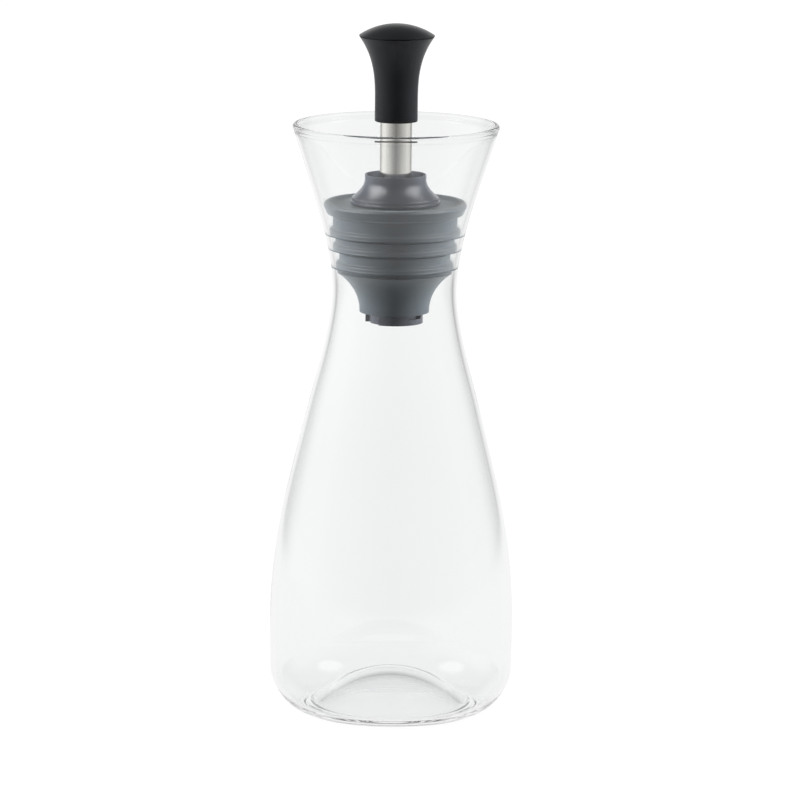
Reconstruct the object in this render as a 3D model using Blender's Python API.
"""Oil and vinegar bottle: a flared glass carafe with a push and pull pouring stopper.

Metres, +Z up. The origin is on the bottle's axis, on the plane that it stands on.
At rest the plunger is pulled up, which is the open, pouring position.
"""

import math

import bmesh
import bpy

# Fits between neighbouring pieces
CLEARANCE = 0.0003
MERGE_DISTANCE = 0.000001

# Glass bottle, whose shoulder and neck are measured down from the mouth
BOTTLE_HEIGHT = 0.1781
MOUTH_RADIUS = 0.0308
RIM_BEAD_RADIUS = 0.00093
GLASS_WALL = 0.0014
FLARE_DEPTH = 0.0318
FLARE_RADIUS = 0.02125
WAIST_DEPTH = 0.0501
WAIST_RADIUS = 0.01855
NAPE_DEPTH = 0.0656
NAPE_RADIUS = 0.02065
SHOULDER_DEPTH = 0.0864
SHOULDER_RADIUS = 0.02595
HIP_HEIGHT = 0.0550
HIP_RADIUS = 0.0342
BELLY_HEIGHT = 0.0272
BELLY_RADIUS = 0.0365
HEEL_HEIGHT = 0.0130
HEEL_RADIUS = 0.0363
HEEL_SQUARENESS = 1.75
FOOT_RING_RADIUS = 0.0248
FOOT_RING_WIDTH = 0.0012
FOOT_ROUND = 0.0030
VALLEY_RADIUS = 0.0272
VALLEY_HEIGHT = 0.0024
VALLEY_ROUND = 0.0050
PUNT_HEIGHT = 0.0110
PUNT_THICKNESS = 0.0018

# Silicone bung, measured down from its top face
STOPPER_DEPTH = 0.0240
BUNG_LENGTH = 0.0324
FLANGE_RADIUS = 0.0214
FLANGE_EDGE_DROP = 0.0003
FLANGE_THICKNESS = 0.0029
FLANGE_TAPER = 0.0011
FLANGE_BEVEL_HEIGHT = 0.0009
CREST_RADIUS = 0.0201
CREST_HEIGHT = 0.0010
CREST_WIDTH = 0.0011
CREST_SLOPE = 0.0019
FIN_DEPTHS = (0.0093, 0.0139, 0.0195)
FIN_THICKNESS = 0.0009
FIN_TAPER_HEIGHT = 0.0028
FIN_UNDERCUT_HEIGHT = 0.0007
GROOVE_DEPTH = 0.0010
BUNG_TIP_WALL = 0.00185

# Plunger stem and the valve on its lower end
STEM_RADIUS = 0.0046
SLEEVE_WALL = 0.0005
STOP_THICKNESS = 0.0022
STOP_REACH = 0.0011
VALVE_NECK = 0.0008
VALVE_RING_SECTION = 0.0015
VALVE_GROOVE_DEPTH = 0.0005
VALVE_RING_COVER = 0.0003
VALVE_LIP_HEIGHT = 0.0010
VALVE_TIP_HEIGHT = 0.0022
VALVE_TIP_RADIUS = 0.0015
STEM_SHOWN = 0.0157

# Pourer: collar, spigot and stem guide
POUR_GAP = 0.00375
RIM_WALL = 0.00085
RIM_STRAIGHT = 0.0017
RIM_ROUND = 0.0002
COLLAR_HEIGHT = 0.0088
COLLAR_FLARE_POWER = 1.8
COLLAR_FOOT_HEIGHT = 0.0019
COLLAR_FOOT_REACH = 0.00355
COLLAR_FLANGE_REACH = 0.00135
COLLAR_FLANGE_HEIGHT = 0.0010
SPIGOT_WALL = 0.00105
SPIGOT_TAPER_DEPTH = 0.0181
SPIGOT_TAPER_LENGTH = 0.0060
GUIDE_DEPTH = 0.0141
GUIDE_HEIGHT = 0.0060
GUIDE_STEP = 0.0006
GUIDE_HUB_WALL = 0.0007
GUIDE_VANES = 3
GUIDE_VANE_ANGLE = math.radians(18.0)
GUIDE_RING_SECTION = 0.0010

# Valve seat, twisted into the spigot's lower end
SEAT_WALL = 0.0012
SEAT_DEPTH = 0.0035
SEAT_CHAMFER = 0.0005
SEAT_TAIL = 0.0032
SEAT_NECK_REACH = 0.0004
LUG_REACH = 0.0013
LUG_THICKNESS = 0.0017
LUG_COUNT = 2
LUG_START = math.radians(-123.0)
LUG_ANGLE = math.radians(123.0)
LUG_LEAD_ANGLE = math.radians(7.0)
LUG_BLOCK_ANGLE = math.radians(52.0)
LUG_HOOK_ANGLE = math.radians(24.0)
LUG_HOOK_RISE = 0.0007
LUG_CUT_OVERLAP = math.radians(2.0)

# Knob
KNOB_HEIGHT = 0.0291
KNOB_WALL = 0.0015
KNOB_TIP_RADIUS = 0.0110
KNOB_STRAIGHT = 0.0052
KNOB_FLARE_POWER = 3.0
KNOB_ROUND = 0.0004
KNOB_SOCKET_DEPTH = 0.0110
KNOB_WEB = 0.0035
CAP_RISE = 0.0037
CAP_EDGE = 0.0002
CAP_SPIGOT_RADIUS = 0.0065
CAP_SPIGOT_WALL = 0.0012
CAP_SPIGOT_DEPTH = 0.0019
SCREW_RADIUS = 0.0015
SCREW_LENGTH = 0.0105
SCREW_HEAD_RADIUS = 0.0029
SCREW_HEAD_HEIGHT = 0.0022
SCREW_WELL_GAP = 0.0010
SCREW_RECESS_WIDTH = 0.0008
SCREW_RECESS_LENGTH = 0.0032
SCREW_RECESS_DEPTH = 0.0012
PILOT_EXTRA_DEPTH = 0.0015

# Fineness of the turned pieces
BOTTLE_SEGMENTS = 40
BUNG_SEGMENTS = 36
PLASTIC_SEGMENTS = 32
RING_SEGMENTS = 24
SPAN_STEPS = 3
HEEL_STEPS = 6
BEAD_STEPS = 6
CURVE_STEPS = 6
ROUND_STEPS = 3
RING_STEPS = 8
SECTOR_STEPS = 5

# Heights that follow from the sizes above
FLARE_HEIGHT = BOTTLE_HEIGHT - FLARE_DEPTH
WAIST_HEIGHT = BOTTLE_HEIGHT - WAIST_DEPTH
NAPE_HEIGHT = BOTTLE_HEIGHT - NAPE_DEPTH
SHOULDER_HEIGHT = BOTTLE_HEIGHT - SHOULDER_DEPTH
STOPPER_TOP = BOTTLE_HEIGHT - STOPPER_DEPTH
BUNG_END = STOPPER_TOP - BUNG_LENGTH
COLLAR_BASE = STOPPER_TOP + CLEARANCE
COLLAR_RIM = COLLAR_BASE + COLLAR_HEIGHT
GUIDE_BASE = STOPPER_TOP - GUIDE_DEPTH
STOP_TOP = GUIDE_BASE - CLEARANCE
STOP_BASE = STOP_TOP - STOP_THICKNESS
SEAT_TOP = BUNG_END + SEAT_DEPTH
SEAT_NECK_TOP = BUNG_END - CLEARANCE
SEAT_BASE = SEAT_NECK_TOP - SEAT_TAIL + CLEARANCE
KNOB_BASE = COLLAR_RIM + STEM_SHOWN
KNOB_SOCKET_TOP = KNOB_BASE + KNOB_SOCKET_DEPTH
KNOB_WEB_TOP = KNOB_SOCKET_TOP + KNOB_WEB
STEM_TOP = KNOB_SOCKET_TOP - CLEARANCE
CAP_BASE = KNOB_BASE + KNOB_HEIGHT - CAP_RISE
KNOB_BODY_TOP = CAP_BASE - CLEARANCE
SCREW_SEAT = KNOB_WEB_TOP + CLEARANCE

# Radii that follow from the sizes above
CORE_RADIUS = STEM_RADIUS - SLEEVE_WALL - CLEARANCE
VALVE_GROOVE_RADIUS = CORE_RADIUS - VALVE_GROOVE_DEPTH
VALVE_RING_RADIUS = VALVE_GROOVE_RADIUS + CLEARANCE + VALVE_RING_SECTION / 2.0
VALVE_RING_OUTER = VALVE_RING_RADIUS + VALVE_RING_SECTION / 2.0
VALVE_LIP_RADIUS = VALVE_RING_OUTER - VALVE_RING_COVER
STOP_RADIUS = VALVE_RING_OUTER + STOP_REACH
SEAT_BORE = VALVE_RING_OUTER + CLEARANCE
SEAT_RADIUS = SEAT_BORE + SEAT_WALL
THROAT_RADIUS = SEAT_RADIUS + CLEARANCE
POUR_BORE = STEM_RADIUS + POUR_GAP
SPIGOT_RADIUS = POUR_BORE + SPIGOT_WALL
SPIGOT_TIP_RADIUS = THROAT_RADIUS + SPIGOT_WALL
COLLAR_RIM_RADIUS = POUR_BORE + RIM_WALL
COLLAR_FOOT_RADIUS = SPIGOT_RADIUS + COLLAR_FOOT_REACH
COLLAR_FLANGE_RADIUS = COLLAR_FOOT_RADIUS + COLLAR_FLANGE_REACH
BUNG_TIP_RADIUS = SPIGOT_TIP_RADIUS + CLEARANCE + BUNG_TIP_WALL
GUIDE_BORE = STEM_RADIUS + CLEARANCE
GUIDE_RING_RADIUS = GUIDE_BORE + GUIDE_RING_SECTION / 2.0
GUIDE_GROOVE_RADIUS = GUIDE_BORE + GUIDE_RING_SECTION + CLEARANCE
GUIDE_HUB_RADIUS = GUIDE_GROOVE_RADIUS + GUIDE_HUB_WALL
GUIDE_RADIUS = POUR_BORE - CLEARANCE
SEAT_NECK_RADIUS = THROAT_RADIUS + SEAT_NECK_REACH
LUG_RADIUS = SEAT_NECK_RADIUS + LUG_REACH
KNOB_SOCKET_RADIUS = STEM_RADIUS + CLEARANCE
KNOB_BASE_RADIUS = KNOB_SOCKET_RADIUS + KNOB_WALL
SCREW_HOLE_RADIUS = SCREW_RADIUS + CLEARANCE
SCREW_WELL_RADIUS = SCREW_HEAD_RADIUS + SCREW_WELL_GAP

# Finishes: colour, roughness, metallic, transmission
FINISHES = {
    "borosilicate_glass": ((0.93, 0.96, 0.95), 0.02, 0.0, 0.95),
    "grey_silicone": ((0.115, 0.125, 0.135), 0.55, 0.0, 0.0),
    "grey_plastic": ((0.085, 0.090, 0.105), 0.28, 0.0, 0.0),
    "grey_guide_plastic": ((0.105, 0.110, 0.125), 0.35, 0.0, 0.0),
    "grey_seat_plastic": ((0.080, 0.085, 0.100), 0.30, 0.0, 0.0),
    "black_ring_rubber": ((0.012, 0.012, 0.012), 0.60, 0.0, 0.0),
    "black_valve_rubber": ((0.010, 0.010, 0.010), 0.60, 0.0, 0.0),
    "polished_steel": ((0.62, 0.61, 0.58), 0.18, 1.0, 0.0),
    "white_core_plastic": ((0.62, 0.62, 0.60), 0.40, 0.0, 0.0),
    "black_knob_plastic": ((0.016, 0.017, 0.020), 0.32, 0.0, 0.0),
    "black_cap_plastic": ((0.018, 0.019, 0.022), 0.28, 0.0, 0.0),
    "zinc_screw_steel": ((0.55, 0.56, 0.58), 0.30, 1.0, 0.0),
}


def clear_scene():
    for item in list(bpy.data.objects):
        bpy.data.objects.remove(item, do_unlink=True)


def finish(name):
    colour, roughness, metallic, transmission = FINISHES[name]
    material = bpy.data.materials.new(name)
    material.use_nodes = True
    shader = material.node_tree.nodes["Principled BSDF"]
    shader.inputs["Base Color"].default_value = (*colour, 1.0)
    shader.inputs["Roughness"].default_value = roughness
    shader.inputs["Metallic"].default_value = metallic
    shader.inputs["Transmission Weight"].default_value = transmission
    return material


def add_object(name, mesh, material_name=None, height=0.0, parent=None):
    """Put a bmesh into the scene as an object whose origin lies on the bottle's axis."""
    data = bpy.data.meshes.new(name)
    mesh.to_mesh(data)
    mesh.free()
    if material_name:
        data.materials.append(finish(material_name))
    data.shade_smooth()
    data.set_sharp_from_angle(angle=math.radians(35.0))
    item = bpy.data.objects.new(name, data)
    item.location.z = height
    item.parent = parent
    bpy.context.scene.collection.objects.link(item)
    return item


def add_axis(name, parent=None):
    """An empty on the bottle's axis that carries a moving group."""
    item = bpy.data.objects.new(name, None)
    item.empty_display_size = 0.01
    item.parent = parent
    bpy.context.scene.collection.objects.link(item)
    return item


def turned_mesh(outline, segments):
    """Spin an outline of (radius, height) points round +Z. Ends on the axis stay open."""
    mesh = bmesh.new()
    points = [mesh.verts.new((radius, 0.0, height)) for radius, height in outline]
    for first, second in zip(points, points[1:] + points[:1]):
        if max(first.co.x, second.co.x) > MERGE_DISTANCE:
            mesh.edges.new((first, second))
    bmesh.ops.spin(
        mesh,
        geom=mesh.verts[:] + mesh.edges[:],
        cent=(0.0, 0.0, 0.0),
        axis=(0.0, 0.0, 1.0),
        angle=math.tau,
        steps=segments,
        use_merge=True,
    )
    bmesh.ops.remove_doubles(mesh, verts=mesh.verts, dist=MERGE_DISTANCE)
    bmesh.ops.recalc_face_normals(mesh, faces=mesh.faces)
    return mesh


def sector_mesh(sectors, inner, outer, base, top, steps):
    """Blocks of a ring, one for each (start, end) angle, used as cutters."""
    mesh = bmesh.new()
    corners = ((inner, base), (outer, base), (outer, top), (inner, top))
    for start, end in sectors:
        rings = []
        for step in range(steps + 1):
            angle = start + (end - start) * step / steps
            side = [(r * math.cos(angle), r * math.sin(angle), z) for r, z in corners]
            rings.append([mesh.verts.new(point) for point in side])
        mesh.faces.new(rings[0])
        mesh.faces.new(rings[-1])
        for near, far in zip(rings, rings[1:]):
            for a in range(4):
                b = (a + 1) % 4
                mesh.faces.new((near[a], near[b], far[b], far[a]))
    bmesh.ops.recalc_face_normals(mesh, faces=mesh.faces)
    return mesh


def box_mesh(boxes):
    """Boxes given as (size, centre)."""
    mesh = bmesh.new()
    for size, centre in boxes:
        made = bmesh.ops.create_cube(mesh, size=1.0)
        bmesh.ops.scale(mesh, verts=made["verts"], vec=size)
        bmesh.ops.translate(mesh, verts=made["verts"], vec=centre)
    return mesh


def cut(item, cutter):
    """Take the cutter's shape out of an object and keep the cutter as a guide."""
    cutter.hide_render = True
    cutter.display_type = "WIRE"
    step = item.modifiers.new(cutter.name, "BOOLEAN")
    step.operation = "DIFFERENCE"
    step.solver = "EXACT"
    step.object = cutter


def arc(centre, radius, start, end, steps):
    """Points of an arc in the (radius, height) plane, angles in degrees."""
    points = []
    for step in range(steps + 1):
        angle = math.radians(start + (end - start) * step / steps)
        points.append((centre[0] + radius * math.cos(angle), centre[1] + radius * math.sin(angle)))
    return points


def o_ring(ring_radius, section, height):
    """Outline of a round ring's section."""
    return arc((ring_radius, height), section / 2.0, 0.0, 360.0, RING_STEPS)[:-1]


# Outer wall of the bottle as heights and radii, from the heel up to the mouth
WALL_POINTS = (
    (HEEL_HEIGHT, HEEL_RADIUS),
    (BELLY_HEIGHT, BELLY_RADIUS),
    (HIP_HEIGHT, HIP_RADIUS),
    (SHOULDER_HEIGHT, SHOULDER_RADIUS),
    (NAPE_HEIGHT, NAPE_RADIUS),
    (WAIST_HEIGHT, WAIST_RADIUS),
    (FLARE_HEIGHT, FLARE_RADIUS),
    (BOTTLE_HEIGHT - RIM_BEAD_RADIUS, MOUTH_RADIUS),
)


def wall_slope(index):
    """Slope of the wall at one of its points: upright at the heel, the belly and the waist."""
    height, radius = WALL_POINTS[index]
    if height in (HEEL_HEIGHT, BELLY_HEIGHT, WAIST_HEIGHT):
        return 0.0
    low = WALL_POINTS[index - 1]
    high = WALL_POINTS[min(index + 1, len(WALL_POINTS) - 1)]
    return (high[1] - low[1]) / (high[0] - low[0])


def outer_radius(height):
    """The bottle's outer radius above its heel: cubic curves through the wall points."""
    index = 0
    while index < len(WALL_POINTS) - 2 and height > WALL_POINTS[index + 1][0]:
        index += 1
    low_height, low_radius = WALL_POINTS[index]
    high_height, high_radius = WALL_POINTS[index + 1]
    span = high_height - low_height
    t = (height - low_height) / span
    rise = 3.0 * t ** 2 - 2.0 * t ** 3
    leave = (t ** 3 - 2.0 * t ** 2 + t) * span * wall_slope(index)
    reach = (t ** 3 - t ** 2) * span * wall_slope(index + 1)
    return low_radius + (high_radius - low_radius) * rise + leave + reach


def neck_radius(height):
    """The bottle's inner radius above its heel."""
    return outer_radius(height) - GLASS_WALL


def heel(start_radius, start_height, end_radius, end_height):
    """A flattened quarter of an ellipse from the foot up to the wall."""
    points = []
    for step in range(1, HEEL_STEPS + 1):
        angle = math.pi / 2.0 * step / HEEL_STEPS
        across = math.sin(angle) ** (2.0 / HEEL_SQUARENESS)
        down = math.cos(angle) ** (2.0 / HEEL_SQUARENESS)
        radius = start_radius + (end_radius - start_radius) * across
        points.append((radius, end_height - (end_height - start_height) * down))
    return points


def punt(centre_height, edge_radius, edge_height, edge_round):
    """The raised middle of the base, from the axis out: a dome and the round at its edge.

    Both are arcs that touch, so their radii add up to (edge radius^2 + rise^2) / (2 rise), and the
    sine of the angle where they touch is the edge radius over that sum.
    """
    rise = centre_height - edge_height
    both = (edge_radius ** 2 + rise ** 2) / (2.0 * rise)
    dome = both - edge_round
    touch = math.degrees(math.asin(edge_radius / both))
    points = arc((0.0, centre_height - dome), dome, 90.0, 90.0 - touch, CURVE_STEPS)
    points[0] = (0.0, centre_height)
    round_centre = (edge_radius, edge_height + edge_round)
    return points + arc(round_centre, edge_round, 270.0 - touch, 270.0, ROUND_STEPS)[1:]


def wall_heights():
    """Heights above the heel at which the wall has a point, finest round the waist."""
    heights = []
    for (low, _), (high, _) in zip(WALL_POINTS, WALL_POINTS[1:]):
        heights += [low + (high - low) * step / SPAN_STEPS for step in range(1, SPAN_STEPS + 1)]
    heights[-1] -= RIM_BEAD_RADIUS
    return heights


def bottle_outline():
    ring_inner = FOOT_RING_RADIUS - FOOT_RING_WIDTH
    bead_centre = (MOUTH_RADIUS - RIM_BEAD_RADIUS, BOTTLE_HEIGHT - RIM_BEAD_RADIUS)
    heights = wall_heights()
    outline = punt(PUNT_HEIGHT, ring_inner, 0.0, FOOT_ROUND)
    outline.append((FOOT_RING_RADIUS, 0.0))
    outline += heel(FOOT_RING_RADIUS, 0.0, HEEL_RADIUS, HEEL_HEIGHT)
    outline += [(outer_radius(height), height) for height in heights]
    outline += arc(bead_centre, RIM_BEAD_RADIUS, -15.0, 195.0, BEAD_STEPS)
    outline += [(neck_radius(height), height) for height in reversed(heights)]
    inner_heel = heel(VALLEY_RADIUS, VALLEY_HEIGHT, HEEL_RADIUS - GLASS_WALL, HEEL_HEIGHT)
    outline += list(reversed(inner_heel))
    floor = punt(PUNT_HEIGHT + PUNT_THICKNESS, VALLEY_RADIUS, VALLEY_HEIGHT, VALLEY_ROUND)
    return outline + list(reversed(floor))


def make_bottle():
    add_object("glass_bottle", turned_mesh(bottle_outline(), BOTTLE_SEGMENTS), "borosilicate_glass")


def fin_outline():
    """Wiper fins of the bung: each widens downwards to a lip close to the glass."""
    lips = [neck_radius(STOPPER_TOP - depth) - CLEARANCE for depth in FIN_DEPTHS]
    points = []
    for index, (depth, lip) in enumerate(zip(FIN_DEPTHS, lips)):
        following = lips[min(index + 1, len(lips) - 1)]
        last = index == len(lips) - 1
        root = lip if last else following
        points.append((lip - GROOVE_DEPTH, -depth + FIN_THICKNESS / 2.0 + FIN_TAPER_HEIGHT))
        points.append((lip - GROOVE_DEPTH / 4.0, -depth + FIN_THICKNESS))
        points.append((lip, -depth + FIN_THICKNESS / 2.0))
        points.append((lip, -depth - FIN_THICKNESS / 2.0))
        if not last:
            under = -depth - FIN_THICKNESS / 2.0 - FIN_UNDERCUT_HEIGHT
            points.append((root - GROOVE_DEPTH, under))
    return points


def skirt_outline():
    """The bung's tapered lower end, a parabola from the last fin down to the tip."""
    start_depth = FIN_DEPTHS[-1] + FIN_THICKNESS / 2.0
    start_radius = neck_radius(STOPPER_TOP - FIN_DEPTHS[-1]) - CLEARANCE
    points = []
    for step in range(1, CURVE_STEPS + 1):
        share = 1.0 - step / CURVE_STEPS
        radius = BUNG_TIP_RADIUS + (start_radius - BUNG_TIP_RADIUS) * share ** 2
        points.append((radius, -BUNG_LENGTH + (BUNG_LENGTH - start_depth) * share))
    return points


def bung_outline():
    bore = SPIGOT_RADIUS + CLEARANCE
    tip_bore = SPIGOT_TIP_RADIUS + CLEARANCE
    first_lip = neck_radius(STOPPER_TOP - FIN_DEPTHS[0]) - CLEARANCE
    bevel_end = FLANGE_THICKNESS + FLANGE_BEVEL_HEIGHT
    outline = [
        (bore, 0.0),
        (CREST_RADIUS - CREST_SLOPE, 0.0),
        (CREST_RADIUS, CREST_HEIGHT),
        (CREST_RADIUS + CREST_WIDTH / 2.0, CREST_HEIGHT),
        (FLANGE_RADIUS, -FLANGE_EDGE_DROP),
        (FLANGE_RADIUS - FLANGE_TAPER, -FLANGE_THICKNESS),
        (first_lip - GROOVE_DEPTH, -bevel_end),
    ]
    outline += fin_outline()
    outline += skirt_outline()
    outline.append((tip_bore, -BUNG_LENGTH))
    outline.append((tip_bore, -SPIGOT_TAPER_DEPTH - SPIGOT_TAPER_LENGTH))
    outline.append((bore, -SPIGOT_TAPER_DEPTH))
    return outline


def make_bung(parent):
    mesh = turned_mesh(bung_outline(), BUNG_SEGMENTS)
    add_object("stopper_seal", mesh, "grey_silicone", STOPPER_TOP, parent)


def collar_outline():
    """Bell-shaped collar with its spigot, heights measured from the foot's underside."""
    below = STOPPER_TOP - COLLAR_BASE
    flare_top = COLLAR_HEIGHT - RIM_STRAIGHT
    reach = COLLAR_FOOT_RADIUS - COLLAR_RIM_RADIUS
    step_height = GUIDE_BASE - CLEARANCE - COLLAR_BASE
    step_radius = POUR_BORE - GUIDE_STEP
    taper_top = below - SPIGOT_TAPER_DEPTH
    taper_base = taper_top - SPIGOT_TAPER_LENGTH
    outline = [(POUR_BORE, COLLAR_HEIGHT - RIM_ROUND), (POUR_BORE + RIM_ROUND, COLLAR_HEIGHT)]
    outline.append((COLLAR_RIM_RADIUS - RIM_ROUND, COLLAR_HEIGHT))
    outline.append((COLLAR_RIM_RADIUS, COLLAR_HEIGHT - RIM_ROUND))
    for step in range(CURVE_STEPS + 1):
        share = step / CURVE_STEPS
        radius = COLLAR_RIM_RADIUS + reach * share ** COLLAR_FLARE_POWER
        outline.append((radius, flare_top + (COLLAR_FOOT_HEIGHT - flare_top) * share))
    outline.append((COLLAR_FOOT_RADIUS, COLLAR_FLANGE_HEIGHT))
    outline.append((COLLAR_FLANGE_RADIUS, COLLAR_FLANGE_HEIGHT))
    outline.append((COLLAR_FLANGE_RADIUS, 0.0))
    outline.append((SPIGOT_RADIUS, 0.0))
    outline.append((SPIGOT_RADIUS, taper_top))
    outline.append((SPIGOT_TIP_RADIUS, taper_base))
    outline.append((SPIGOT_TIP_RADIUS, BUNG_END - COLLAR_BASE))
    outline.append((THROAT_RADIUS, BUNG_END - COLLAR_BASE))
    outline.append((THROAT_RADIUS, taper_base))
    outline.append((step_radius, taper_top))
    outline.append((step_radius, step_height))
    outline.append((POUR_BORE, step_height))
    return outline


def make_collar(parent):
    mesh = turned_mesh(collar_outline(), PLASTIC_SEGMENTS)
    add_object("pourer_collar", mesh, "grey_plastic", COLLAR_BASE, parent)


def make_guide(parent):
    """Hub that steadies the stem, held in the bore by vanes that let the liquid past."""
    middle = GUIDE_HEIGHT / 2.0
    groove_half = GUIDE_RING_SECTION / 2.0 + CLEARANCE
    outline = [
        (GUIDE_BORE, 0.0),
        (GUIDE_RADIUS, 0.0),
        (GUIDE_RADIUS, GUIDE_HEIGHT),
        (GUIDE_BORE, GUIDE_HEIGHT),
        (GUIDE_BORE, middle + groove_half),
        (GUIDE_GROOVE_RADIUS, middle + groove_half),
        (GUIDE_GROOVE_RADIUS, middle - groove_half),
        (GUIDE_BORE, middle - groove_half),
    ]
    guide_mesh = turned_mesh(outline, PLASTIC_SEGMENTS)
    guide = add_object("stem_guide", guide_mesh, "grey_guide_plastic", GUIDE_BASE, parent)
    pitch = math.tau / GUIDE_VANES
    half_vane = GUIDE_VANE_ANGLE / 2.0
    gaps = [(pitch * i + half_vane, pitch * (i + 1) - half_vane) for i in range(GUIDE_VANES)]
    outside = GUIDE_RADIUS + POUR_GAP
    over = GUIDE_HEIGHT / 2.0
    top = GUIDE_HEIGHT + over
    gap_mesh = sector_mesh(gaps, GUIDE_HUB_RADIUS, outside, -over, top, SECTOR_STEPS)
    cut(guide, add_object("guide_gap_cutter", gap_mesh, None, GUIDE_BASE, parent))
    ring_outline = o_ring(GUIDE_RING_RADIUS, GUIDE_RING_SECTION, middle)
    ring_mesh = turned_mesh(ring_outline, RING_SEGMENTS)
    add_object("guide_o_ring", ring_mesh, "black_ring_rubber", GUIDE_BASE, parent)


def make_valve_seat(parent):
    """Bored insert in the spigot's end. It twists on by two lugs, each with a raised
    block and a hooked end."""
    neck_top = SEAT_NECK_TOP - SEAT_BASE
    top = SEAT_TOP - SEAT_BASE
    outline = [
        (SEAT_BORE, 0.0),
        (LUG_RADIUS, 0.0),
        (LUG_RADIUS, neck_top),
        (SEAT_RADIUS, neck_top),
        (SEAT_RADIUS, top),
        (SEAT_BORE + SEAT_CHAMFER, top),
        (SEAT_BORE, top - SEAT_CHAMFER),
    ]
    seat_mesh = turned_mesh(outline, PLASTIC_SEGMENTS)
    seat = add_object("valve_seat", seat_mesh, "grey_seat_plastic", SEAT_BASE, parent)
    over = SEAT_TAIL / 2.0
    gaps = []
    recesses = []
    hooks = []
    for number in range(LUG_COUNT):
        start = LUG_START + math.tau / LUG_COUNT * number
        end = start + LUG_ANGLE
        block = start + LUG_LEAD_ANGLE
        hook = end - LUG_HOOK_ANGLE
        gaps.append((end, start + math.tau / LUG_COUNT))
        recesses.append((start - LUG_CUT_OVERLAP, block))
        recesses.append((block + LUG_BLOCK_ANGLE, hook))
        hooks.append((hook - LUG_CUT_OVERLAP, end + LUG_CUT_OVERLAP))
    cuts = (
        ("lug_gap_cutter", gaps, -over),
        ("lug_recess_cutter", recesses, LUG_THICKNESS),
        ("lug_hook_cutter", hooks, LUG_THICKNESS + LUG_HOOK_RISE),
    )
    outside = LUG_RADIUS + LUG_REACH
    for name, sectors, base in cuts:
        mesh = sector_mesh(sectors, SEAT_NECK_RADIUS, outside, base, neck_top + over, SECTOR_STEPS)
        cut(seat, add_object(name, mesh, None, SEAT_BASE, parent))


def make_stem(parent):
    """Steel sleeve over a plastic core that carries the stop, the valve and its ring."""
    sleeve_base = STOP_TOP + CLEARANCE
    sleeve_bore = STEM_RADIUS - SLEEVE_WALL
    sleeve_length = STEM_TOP - sleeve_base
    sleeve = [
        (sleeve_bore, 0.0),
        (STEM_RADIUS, 0.0),
        (STEM_RADIUS, sleeve_length),
        (sleeve_bore, sleeve_length),
    ]
    sleeve_mesh = turned_mesh(sleeve, PLASTIC_SEGMENTS)
    add_object("stem_sleeve", sleeve_mesh, "polished_steel", sleeve_base, parent)
    groove_height = VALVE_RING_SECTION + 2.0 * CLEARANCE
    groove_top = -STOP_THICKNESS - VALVE_NECK
    groove_base = groove_top - groove_height
    lip_base = groove_base - VALVE_LIP_HEIGHT
    core_top = STEM_TOP - STOP_TOP
    pilot_base = SCREW_SEAT - SCREW_LENGTH - PILOT_EXTRA_DEPTH - STOP_TOP
    core = [
        (0.0, pilot_base),
        (SCREW_HOLE_RADIUS, pilot_base),
        (SCREW_HOLE_RADIUS, core_top),
        (CORE_RADIUS, core_top),
        (CORE_RADIUS, 0.0),
        (STOP_RADIUS, 0.0),
        (STOP_RADIUS, -STOP_THICKNESS),
        (VALVE_LIP_RADIUS, -STOP_THICKNESS),
        (VALVE_LIP_RADIUS, groove_top),
        (VALVE_GROOVE_RADIUS, groove_top),
        (VALVE_GROOVE_RADIUS, groove_base),
        (VALVE_LIP_RADIUS, groove_base),
        (VALVE_LIP_RADIUS, lip_base),
        (VALVE_TIP_RADIUS, lip_base - VALVE_TIP_HEIGHT),
        (0.0, lip_base - VALVE_TIP_HEIGHT),
    ]
    core_mesh = turned_mesh(core, PLASTIC_SEGMENTS)
    add_object("stem_core", core_mesh, "white_core_plastic", STOP_TOP, parent)
    ring = o_ring(VALVE_RING_RADIUS, VALVE_RING_SECTION, groove_top - groove_height / 2.0)
    ring_mesh = turned_mesh(ring, RING_SEGMENTS)
    add_object("valve_o_ring", ring_mesh, "black_valve_rubber", STOP_TOP, parent)


def knob_outline():
    """Flared handle, heights measured from its lower edge."""
    top = KNOB_BODY_TOP - KNOB_BASE
    cap_height = CAP_BASE - KNOB_BASE
    flare = KNOB_TIP_RADIUS - KNOB_BASE_RADIUS
    well_top = top - CAP_SPIGOT_DEPTH - CLEARANCE
    web_top = KNOB_WEB_TOP - KNOB_BASE
    cap_bore = CAP_SPIGOT_RADIUS + CLEARANCE
    outline = [(KNOB_SOCKET_RADIUS, 0.0), (KNOB_BASE_RADIUS - KNOB_ROUND, 0.0)]
    outline.append((KNOB_BASE_RADIUS, KNOB_ROUND))
    for step in range(CURVE_STEPS + 1):
        share = (step / CURVE_STEPS) ** 0.7
        height = KNOB_STRAIGHT + (top - KNOB_STRAIGHT) * share
        bend = (height - KNOB_STRAIGHT) / (cap_height - KNOB_STRAIGHT)
        outline.append((KNOB_BASE_RADIUS + flare * bend ** KNOB_FLARE_POWER, height))
    outline += [(cap_bore, top), (cap_bore, well_top)]
    outline += [(SCREW_WELL_RADIUS, well_top), (SCREW_WELL_RADIUS, web_top)]
    outline += [(SCREW_HOLE_RADIUS, web_top), (SCREW_HOLE_RADIUS, KNOB_SOCKET_DEPTH)]
    outline.append((KNOB_SOCKET_RADIUS, KNOB_SOCKET_DEPTH))
    return outline


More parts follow.
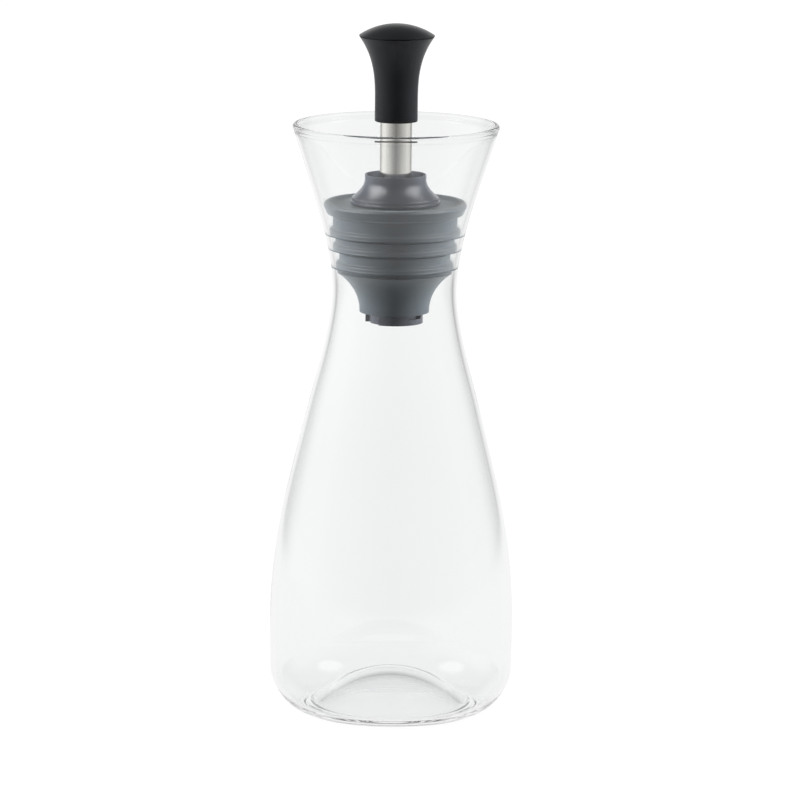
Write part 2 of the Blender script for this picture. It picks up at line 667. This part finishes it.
def cap_outline():
    """Domed cap with a short ring below that plugs into the knob, from the cap's edge up."""
    edge = KNOB_TIP_RADIUS - CAP_EDGE
    rise = CAP_RISE - CAP_EDGE
    dome_radius = (KNOB_TIP_RADIUS ** 2 + rise ** 2) / (2.0 * rise)
    half_angle = math.degrees(math.asin(KNOB_TIP_RADIUS / dome_radius))
    centre = (0.0, CAP_RISE - dome_radius)
    spigot_inner = CAP_SPIGOT_RADIUS - CAP_SPIGOT_WALL
    outline = [(0.0, 0.0), (spigot_inner, 0.0), (spigot_inner, -CAP_SPIGOT_DEPTH)]
    outline += [(CAP_SPIGOT_RADIUS, -CAP_SPIGOT_DEPTH), (CAP_SPIGOT_RADIUS, 0.0), (edge, 0.0)]
    outline += arc(centre, dome_radius, 90.0 - half_angle, 90.0, CURVE_STEPS)[:-1]
    outline.append((0.0, CAP_RISE))
    return outline


def make_knob(parent):
    knob_mesh = turned_mesh(knob_outline(), PLASTIC_SEGMENTS)
    add_object("knob_body", knob_mesh, "black_knob_plastic", KNOB_BASE, parent)
    cap_mesh = turned_mesh(cap_outline(), PLASTIC_SEGMENTS)
    add_object("knob_cap", cap_mesh, "black_cap_plastic", CAP_BASE, parent)
    screw = [
        (0.0, -SCREW_LENGTH),
        (SCREW_RADIUS, -SCREW_LENGTH + SCREW_RADIUS),
        (SCREW_RADIUS, 0.0),
        (SCREW_HEAD_RADIUS, 0.0),
        (SCREW_HEAD_RADIUS, SCREW_HEAD_HEIGHT * 0.6),
        (SCREW_HEAD_RADIUS * 0.7, SCREW_HEAD_HEIGHT),
        (0.0, SCREW_HEAD_HEIGHT),
    ]
    screw_mesh = turned_mesh(screw, RING_SEGMENTS)
    item = add_object("knob_screw", screw_mesh, "zinc_screw_steel", SCREW_SEAT, parent)
    depth = 2.0 * SCREW_RECESS_DEPTH
    cross = (
        ((SCREW_RECESS_LENGTH, SCREW_RECESS_WIDTH, depth), (0.0, 0.0, SCREW_HEAD_HEIGHT)),
        ((SCREW_RECESS_WIDTH, SCREW_RECESS_LENGTH, depth), (0.0, 0.0, SCREW_HEAD_HEIGHT)),
    )
    for number, box in enumerate(cross, start=1):
        cutter = add_object(f"recess_cutter_{number}", box_mesh([box]), None, SCREW_SEAT, parent)
        cut(item, cutter)


def main():
    clear_scene()
    make_bottle()
    stopper_axis = add_axis("stopper_lift_axis")
    make_bung(stopper_axis)
    make_collar(stopper_axis)
    make_guide(stopper_axis)
    make_valve_seat(stopper_axis)
    plunger_axis = add_axis("plunger_slide_axis", stopper_axis)
    make_stem(plunger_axis)
    make_knob(plunger_axis)
    travel = STOP_BASE - SEAT_TOP - CLEARANCE
    print(f"plunger travel {travel * 1000.0:.2f} mm")


main()
